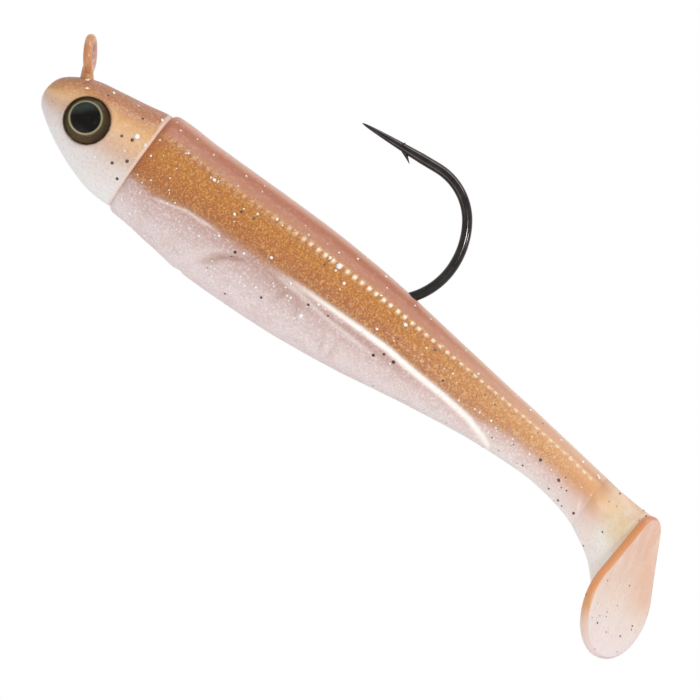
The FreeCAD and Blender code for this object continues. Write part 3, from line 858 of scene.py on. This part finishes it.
# Soft poured plastisol with copper and pearl pigment: a wet, waxy skin whose colour sits below the surface.
def plastisol(name, roughness=0.38, subsurface=0.2, coat=0.15):
    return newMaterial(name, Roughness=roughness, IOR=1.5, Subsurface_Weight=subsurface,
                       Subsurface_Scale=0.0012, Subsurface_Radius=(1.0, 0.55, 0.4), Coat_Weight=coat,
                       Coat_Roughness=0.15)


def rampFrom(tree, mask, stops):
    place = addNode(tree, "Attribute", out="Fac", attribute_name=mask)
    return addNode(tree, "ValToRGB", {"Fac": place}, "Color", stops)


def tones(tree, sizeMm, detail, stops):
    # close tones of one material, drifting into each other
    return addNode(tree, "ValToRGB", {"Fac": grain(tree, sizeMm, detail)}, "Color", stops)


def bodyMaterial():
    made = plastisol("pouredPlastisolCopperOverPearl")
    tree = made.node_tree
    # down the side: pink-brown back, gold then copper flank, lilac-pink belly; the pale first two stops along the
    # very top are a painted highlight on the back ridge
    front = rampFrom(tree, "drop", [
        (0.0, "d3ab99"), (0.02, "c3907a"), (0.045, "ad694b"), (0.10, "ae6a49"), (0.15, "b06e42"),
        (0.20, "bd7a3c"), (0.30, "c27c38"), (0.38, "b96e38"), (0.45, "b37044"), (0.50, "ba866a"),
        (0.55, "c6a298"), (0.62, "cfb0aa"), (0.76, "dcc7c4"), (0.90, "e6d6d5"), (1.0, "e3d1d2")])
    # towards the tail the pour thins and everything pales
    rear = rampFrom(tree, "drop", [
        (0.0, "ddc0aa"), (0.045, "d4ab90"), (0.10, "c99671"), (0.16, "dbab80"), (0.25, "dca572"),
        (0.34, "d49864"), (0.42, "d3a27c"), (0.50, "dab09c"), (0.60, "e1c4b8"), (0.77, "e7d1ca"),
        (0.90, "ece1dd"), (1.0, "f0ebe7")])
    smooth = layered(tree, front, [("rear", rear)])
    gold = layered(tree, hexColour("e8b25c"), [("rear", "f5d3a5")])
    brown = layered(tree, hexColour("94562a"), [("rear", "c08a5f")])
    # metal flake lies in the scales: fine bright gold among darker copper, and the copper darkens the grooves
    # between scales and the pits where three meet
    flaked = layered(tree, smooth, [
        (patches(tree, 0.36, 0.46, 0.72, 0.50, 2), brown), ("copper", brown),
        (patches(tree, 0.27, 0.48, 0.70, 0.62, 1), gold)])
    ridge = layered(tree, smooth, [(patches(tree, 0.6, 0.50, 0.75, 0.30, 3), "dba48c")])
    # clear and milky parts of the pour swirl together under a fine pink and white grain
    pale = layered(tree, smooth, [
        (patches(tree, 2.6, 0.45, 0.70, 0.25, 4), "c9a399"),
        (patches(tree, 0.34, 0.46, 0.74, 0.45, 1), "fbf3f3"),
        (patches(tree, 0.40, 0.48, 0.72, 0.30, 2), "bb9490")])
    # the bead colour and the ledge colour are painted highlight, and the shade colour is painted shade
    colour = layered(tree, ridge, [
        ("flank", flaked), ("pearl", pale), ("beadsAndGlint", "fff1d6"), ("collar", "b0623a"),
        ("shade", "a97b66"), ("ledge", "fdf6f0")])
    gloss = addNode(tree, "MapRange", {"Value": grain(tree, 1.4, 2), "To Min": 0.30,
                                       "To Max": 0.50}, "Result")
    # 0.3 mm flake grain under the skin, drawn a little over its real size so that it shows
    return finished(made, colour, grain(tree, 0.45, 2), 0.55, 0.07, gloss)


def headMaterial():
    # the same plastisol dipped over lead: opaque copper crown, peach cheek, pearl throat
    made = plastisol("dippedPlastisolCrownToPearl", 0.36, 0.15, 0.12)
    tree = made.node_tree
    place = addNode(tree, "Attribute", out="Fac", attribute_name="drop")
    wander = addNode(tree, "Math", {0: grain(tree, 3.0, 3), 1: 0.12, 2: -0.055}, 0,
                     operation="MULTIPLY_ADD")
    drop = addNode(tree, "Math", {0: place, 1: wander}, 0, operation="ADD")
    colour = addNode(tree, "ValToRGB", {"Fac": drop}, "Color", [
        (0.0, "a86d4f"), (0.12, "b27043"), (0.19, "c88a50"), (0.27, "e3ae78"), (0.37, "e8be92"),
        (0.50, "dfb69b"), (0.62, "dfc8ba"), (0.74, "e8dcd9"), (1.0, "f3f1f2")])
    # the socket colour is painted shade round each eye
    colour = layered(tree, colour, [
        (patches(tree, 0.34, 0.48, 0.72, 0.28, 2), "f6ead8"),
        (patches(tree, 0.45, 0.48, 0.72, 0.20, 2), "b27c58"),
        ("socket", "8a6a50"), ("rim", "ecd2c4")])
    return finished(made, colour, grain(tree, 0.6, 2), 0.3, 0.05)


def webMaterial():
    # a thin, nearly clear pour: cream above where the copper runs out, water-clear below
    made = plastisol("thinPlastisolCreamToClear", 0.42, 0.35, 0.04)
    tree = made.node_tree
    near = rampFrom(tree, "drop", [
        (0.0, "cbaa92"), (0.06, "c79c7e"), (0.12, "c9966f"), (0.20, "d6a478"), (0.30, "dba775"),
        (0.42, "d39d6e"), (0.54, "d6aa90"), (0.66, "e1c6bb"), (0.80, "e7d4ce"), (1.0, "ece4e0")])
    far = rampFrom(tree, "drop", [
        (0.0, "d9b49c"), (0.05, "ead0b4"), (0.25, "edd5ad"), (0.45, "efe0c8"), (0.60, "f4f1ea"),
        (1.0, "f0ebe8")])
    far = layered(tree, far, [(patches(tree, 1.8, 0.45, 0.70, 0.30, 3), "f9f4ee")])
    along = addNode(tree, "Attribute", out="Fac", attribute_name="along")
    fade = addNode(tree, "MapRange", {"Value": along, "From Min": 0.03, "From Max": 0.52}, "Result",
                   interpolation_type="SMOOTHSTEP")
    colour = layered(tree, near, [(fade, far), (patches(tree, 0.34, 0.48, 0.72, 0.25, 2), "c9a58c")])
    return finished(made, colour, grain(tree, 0.7, 2), 0.2, 0.04)


def paddleMaterial():
    # the same thin pour, peach in the face with the copper caught along its near rim
    made = plastisol("thinPlastisolPeachWithCopperRim", 0.34, 0.3)
    tree = made.node_tree
    face = rampFrom(tree, "drop", [
        (0.0, "e6bca6"), (0.25, "e6bda6"), (0.50, "e8cab8"), (0.70, "ebd9cf"), (0.85, "ebdddb"),
        (1.0, "ede0e0")])
    face = layered(tree, face, [
        (patches(tree, 1.0, 0.42, 0.68, 0.40, 3, (1, 1, 0.12)), "f3e2d6"), ("streak", "e2ad86"),
        (patches(tree, 0.5, 0.52, 0.70, 0.22, 2), "cfa795")])
    rim = rampFrom(tree, "drop", [
        (0.0, "c98a6c"), (0.10, "d08a55"), (0.62, "d99664"), (0.75, "d9a274"), (0.85, "e2c4b4"),
        (1.0, "e6d4d2")])
    colour = layered(tree, face, [("rim", rim), ("rimLine", "b98a80")])
    return finished(made, colour, grain(tree, 0.7, 2), 0.2, 0.04)


def tieMaterial():
    # amber plastisol where it runs thin over the wire, with pale amber patches that are partly its own mottling and
    # partly painted highlight; the far strand is painted pinker as painted shade
    made = plastisol("dippedPlastisolAmber", 0.24, 0.25, 0.3)
    tree = made.node_tree
    place = addNode(tree, "TexCoord", out="Object")
    across = addNode(tree, "SeparateXYZ", {"Vector": place}, "Y")
    far = addNode(tree, "MapRange", {"Value": across, "From Min": -0.0008, "From Max": 0.0012},
                  "Result")
    colour = layered(tree, hexColour("c98c5c"), [
        (patches(tree, 1.8, 0.45, 0.65, 0.6, 1), "e2b488"), (far, "c59a8e")])
    return finished(made, colour, grain(tree, 0.9, 1), 0.12, 0.04)


def hookMaterial():
    # high-carbon steel wire under black nickel plate: near-black mirror with fine drawn scratches
    made = newMaterial("blackNickelPlatedSteel", Metallic=1.0, Coat_Weight=0.6, Coat_Roughness=0.05)
    tree = made.node_tree
    smear = grain(tree, 1.5, 3)
    colour = addNode(tree, "ValToRGB", {"Fac": smear}, "Color", [(0.3, "262123"), (0.7, "413a38")])
    gloss = addNode(tree, "MapRange", {"Value": smear, "To Min": 0.10, "To Max": 0.26}, "Result")
    return finished(made, colour, grain(tree, 0.25, 1), 0.1, 0.01, gloss)


def leadMaterial():
    # cast lead: dull blue-grey with a pitted oxide bloom
    made = newMaterial("castLead", Metallic=1.0, Roughness=0.6)
    tree = made.node_tree
    colour = tones(tree, 1.0, 4, [(0.3, "63666b"), (0.7, "85888c")])
    return finished(made, colour, grain(tree, 0.5, 3), 0.5, 0.05)


def foilMaterial(side):
    # printed holographic foil: black pupil, a bright thin ring, then a smoky olive band; the smoky teal sheen in the
    # pupil is a painted reflection
    made = newMaterial("printedFoilEye" + side.title(), Roughness=0.35, Specular_IOR_Level=0.05)
    tree = made.node_tree
    low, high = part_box("eye_foil_" + side)
    place = addNode(tree, "TexCoord", out="Object")
    centred = addNode(tree, "Mapping", {
        "Vector": place, "Scale": (1, 0, 1),
        "Location": (-(low.x + high.x) / 2 + eyeShape["printForward"] / 1000, 0,
                     -(low.z + high.z) / 2 - eyeShape["printUp"] / 1000)}, "Vector")
    out = addNode(tree, "VectorMath", {0: centred}, "Value", operation="LENGTH")
    part = addNode(tree, "MapRange", {"Value": out, "From Max": eyeShape["radius"] / 1000},
                   "Result")
    ring = addNode(tree, "ValToRGB", {"Fac": part}, "Color", [
        (0.0, "020202"), (0.625, "050404"), (0.65, "6a705c"), (0.685, "c8c4a0"), (0.725, "b3ac84"),
        (0.765, "675f49"), (0.82, "675943"), (0.95, "7d6850"), (1.0, "94785c")])
    # a painted reflection fills the pupil's upper front quarter
    leaning = addNode(tree, "VectorMath", {0: centred, 1: (-0.7, 0, 0.7)}, "Value",
                      operation="DOT_PRODUCT")
    pupilReflection = addNode(tree, "MapRange", {"Value": leaning, "From Min": 0.0004, "From Max": 0.0016,
                                       "To Max": 0.75}, "Result", interpolation_type="SMOOTHSTEP")
    inPupil = addNode(tree, "MapRange", {"Value": part, "From Min": 0.65, "From Max": 0.61},
                      "Result")
    pupilReflection = addNode(tree, "Math", {0: pupilReflection, 1: inPupil}, 0, operation="MULTIPLY")
    return finished(made, layered(tree, ring, [
        (pupilReflection, "445452"), (patches(tree, 0.35, 0.50, 0.80, 0.12, 2), "8a8268")]))


def domeMaterial():
    # clear cast epoxy: almost all of it is seen through, the rest is a sharp wet highlight
    made = newMaterial("clearCastEpoxy")
    tree = made.node_tree
    tree.nodes.remove(tree.nodes["Principled BSDF"])
    clear = addNode(tree, "BsdfTransparent", {"Color": hexColour("f7f5f2")}, 0)
    ripple = addNode(tree, "Bump", {"Height": grain(tree, 2.0, 1), "Strength": 0.05,
                                    "Distance": 0.0001}, "Normal")
    gloss = addNode(tree, "BsdfGlossy", {"Roughness": 0.04, "Normal": ripple}, 0)
    edge = addNode(tree, "Fresnel", {"IOR": 1.22}, 0)
    both = addNode(tree, "MixShader", {0: edge, 1: clear, 2: gloss}, 0)
    tree.links.new(both, tree.nodes["Material Output"].inputs["Surface"])
    return made


def glitterMaterial():
    # metallised polyester flake: thin bright silver that shows as white sparks
    made = newMaterial("metallisedPolyesterFlake", Metallic=0.1, Roughness=0.2)
    return finished(made, tones(made.node_tree, 1.0, 1, [(0.4, "faf3ee"), (0.6, "ffffff")]))


def speckMaterial():
    # black pepper flake, dulled by the skin over it
    made = newMaterial("blackPepperFlake", Roughness=0.5)
    dark = [(0.3, "3a2b26"), (0.55, "6b574f"), (0.75, "93807a")]
    return finished(made, tones(made.node_tree, 1.5, 1, dark))


def dress(piece, material):
    piece.data.materials.clear()
    piece.data.materials.append(material)


dress(bodySkin, bodyMaterial())
dress(tailWeb, webMaterial())
dress(paddlePlate, paddleMaterial())
dress(headSkin, headMaterial())
dress(tieCoat, tieMaterial())
dress(hookWire, hookMaterial())
dress(frame["nodes"]["head_weight"], leadMaterial())
epoxy = domeMaterial()
for foil, dome, side in ((eyeFoilLeft, eyeDomeLeft, "left"), (eyeFoilRight, eyeDomeRight, "right")):
    dress(foil, foilMaterial(side))
    dress(dome, epoxy)
silver, pepper = glitterMaterial(), speckMaterial()
for piece in (bodyGlitter, headGlitter):
    dress(piece, silver)
for piece in (bodySpecks, headSpecks, webSpecks, paddleSpecks):
    dress(piece, pepper)
print("materials on")


# Each new piece hides the CAD nodes it stands in for. The head's and the paddle's pieces are hung on the body they
# move with; the body skin, tail web and their flecks only have their placing applied to their points.
for piece, node, slotName in ((headSkin, "head_skin", "head_skin"), (tieCoat, "tie_coat", "head_skin"),
                              (hookWire, "jig_hook", "hook_wire"),
                              (eyeFoilLeft, "eye_foil_left", "eye_foil"),
                              (eyeFoilRight, "eye_foil_right", "eye_foil"),
                              (eyeDomeLeft, "eye_dome_left", "eye_dome"),
                              (eyeDomeRight, "eye_dome_right", "eye_dome")):
    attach(piece, "front")
    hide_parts(node)
for piece in (headGlitter, headSpecks):
    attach(piece, "front")

bendStart, bendEnd = spot(tailBend["start"], 0), spot(tailBend["end"], 0)
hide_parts("body_back", "body_belly", "tail_back", "tail_belly")
for piece, slotName in ((bodySkin, "gold_back"), (bodyGlitter, "pearl_belly"), (bodySpecks, "pearl_belly")):
    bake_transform(piece)
kickStart, kickEnd = spot(paddleBend["start"], 0), spot(paddleBend["end"], 0)
for piece in (tailWeb, webSpecks):
    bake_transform(piece)
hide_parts("paddle")
for piece in (paddlePlate, paddleSpecks):
    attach(piece, "paddle")


# Floor, light and camera.
def makeStage():
    low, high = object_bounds()
    bpy.ops.mesh.primitive_cylinder_add(vertices=96, radius=0.55, depth=0.01,
                                        location=((low.x + high.x) / 2, 0, low.z - 0.25))
    floor = named("floor")
    applyPlace()
    paper = newMaterial("matWhitePaperSweep", Roughness=0.8)
    dress(floor, finished(paper, tones(paper.node_tree, 30, 2, [(0.3, "f1f0ee"), (0.7, "f6f5f4")])))


def areaLight(name, power, size, location, target):
    bpy.ops.object.light_add(type="AREA", location=location)
    lamp = bpy.context.object
    lamp.name = name
    lamp.data.energy = power
    lamp.data.shape = "RECTANGLE"
    lamp.data.size, lamp.data.size_y = size
    way = Vector(target) - Vector(location)
    lamp.rotation_euler = way.to_track_quat("-Z", "Y").to_euler()


cameraView = dict(turn=math.radians(3.5), rise=math.radians(2.0), roll=math.radians(35.4), lens=800,
                  away=2.170, target=(0.0536, 0, -0.01257))


def makeCamera():
    view = cameraView
    bpy.ops.object.camera_add()
    camera = bpy.context.object
    camera.name = "studioCamera"
    target = Vector(view["target"])
    level = math.cos(view["rise"])
    back = Vector((math.sin(view["turn"]) * level, -math.cos(view["turn"]) * level, math.sin(view["rise"])))
    camera.rotation_mode = "QUATERNION"
    upright = (-back).to_track_quat("-Z", "Y")
    camera.rotation_quaternion = upright @ Matrix.Rotation(view["roll"], 3, "Z").to_quaternion()
    camera.location = target + back * view["away"]
    camera.data.lens = view["lens"]
    camera.data.sensor_width = 36
    camera.data.clip_start = 0.01
    bpy.context.scene.camera = camera


makeStage()
middle = ((cadLow.x + cadHigh.x) / 2, 0, axisZ)
areaLight("overheadSoftbox", 0.55, (0.34, 0.16), (0.06, -0.09, 0.36), middle)
areaLight("catchLight", 0.42, (0.042, 0.042), (0.208, -0.453, 0.076), middle)
areaLight("sideLight", 0.15, (0.035, 0.035), (0.384, -0.188, 0.151), middle)
areaLight("lowFill", 0.25, (0.40, 0.20), (0.06, -0.25, -0.22), middle)
world = bpy.data.worlds.new("whiteRoom")
world.use_nodes = True
bpy.context.scene.world = world
# the room is white behind the object and dimmer on the camera's side, as round a light table
room = world.node_tree
wayOut = addNode(room, "TexCoord", out="Generated")
depth = addNode(room, "SeparateXYZ", {"Vector": wayOut}, "Y")
dim = addNode(room, "MapRange", {"Value": depth, "From Min": -0.6, "From Max": 0.5, "To Min": 0.55,
                                 "To Max": 0.8}, "Result")
seen = addNode(room, "LightPath", out="Is Camera Ray")
strength = addNode(room, "Math", {0: dim, 1: seen}, 0, operation="MAXIMUM")
room.nodes["Background"].inputs["Color"].default_value = (1, 1, 1, 1)
room.links.new(strength, room.nodes["Background"].inputs["Strength"])
bpy.context.scene.view_settings.view_transform = "Standard"
makeCamera()
print("stage set")
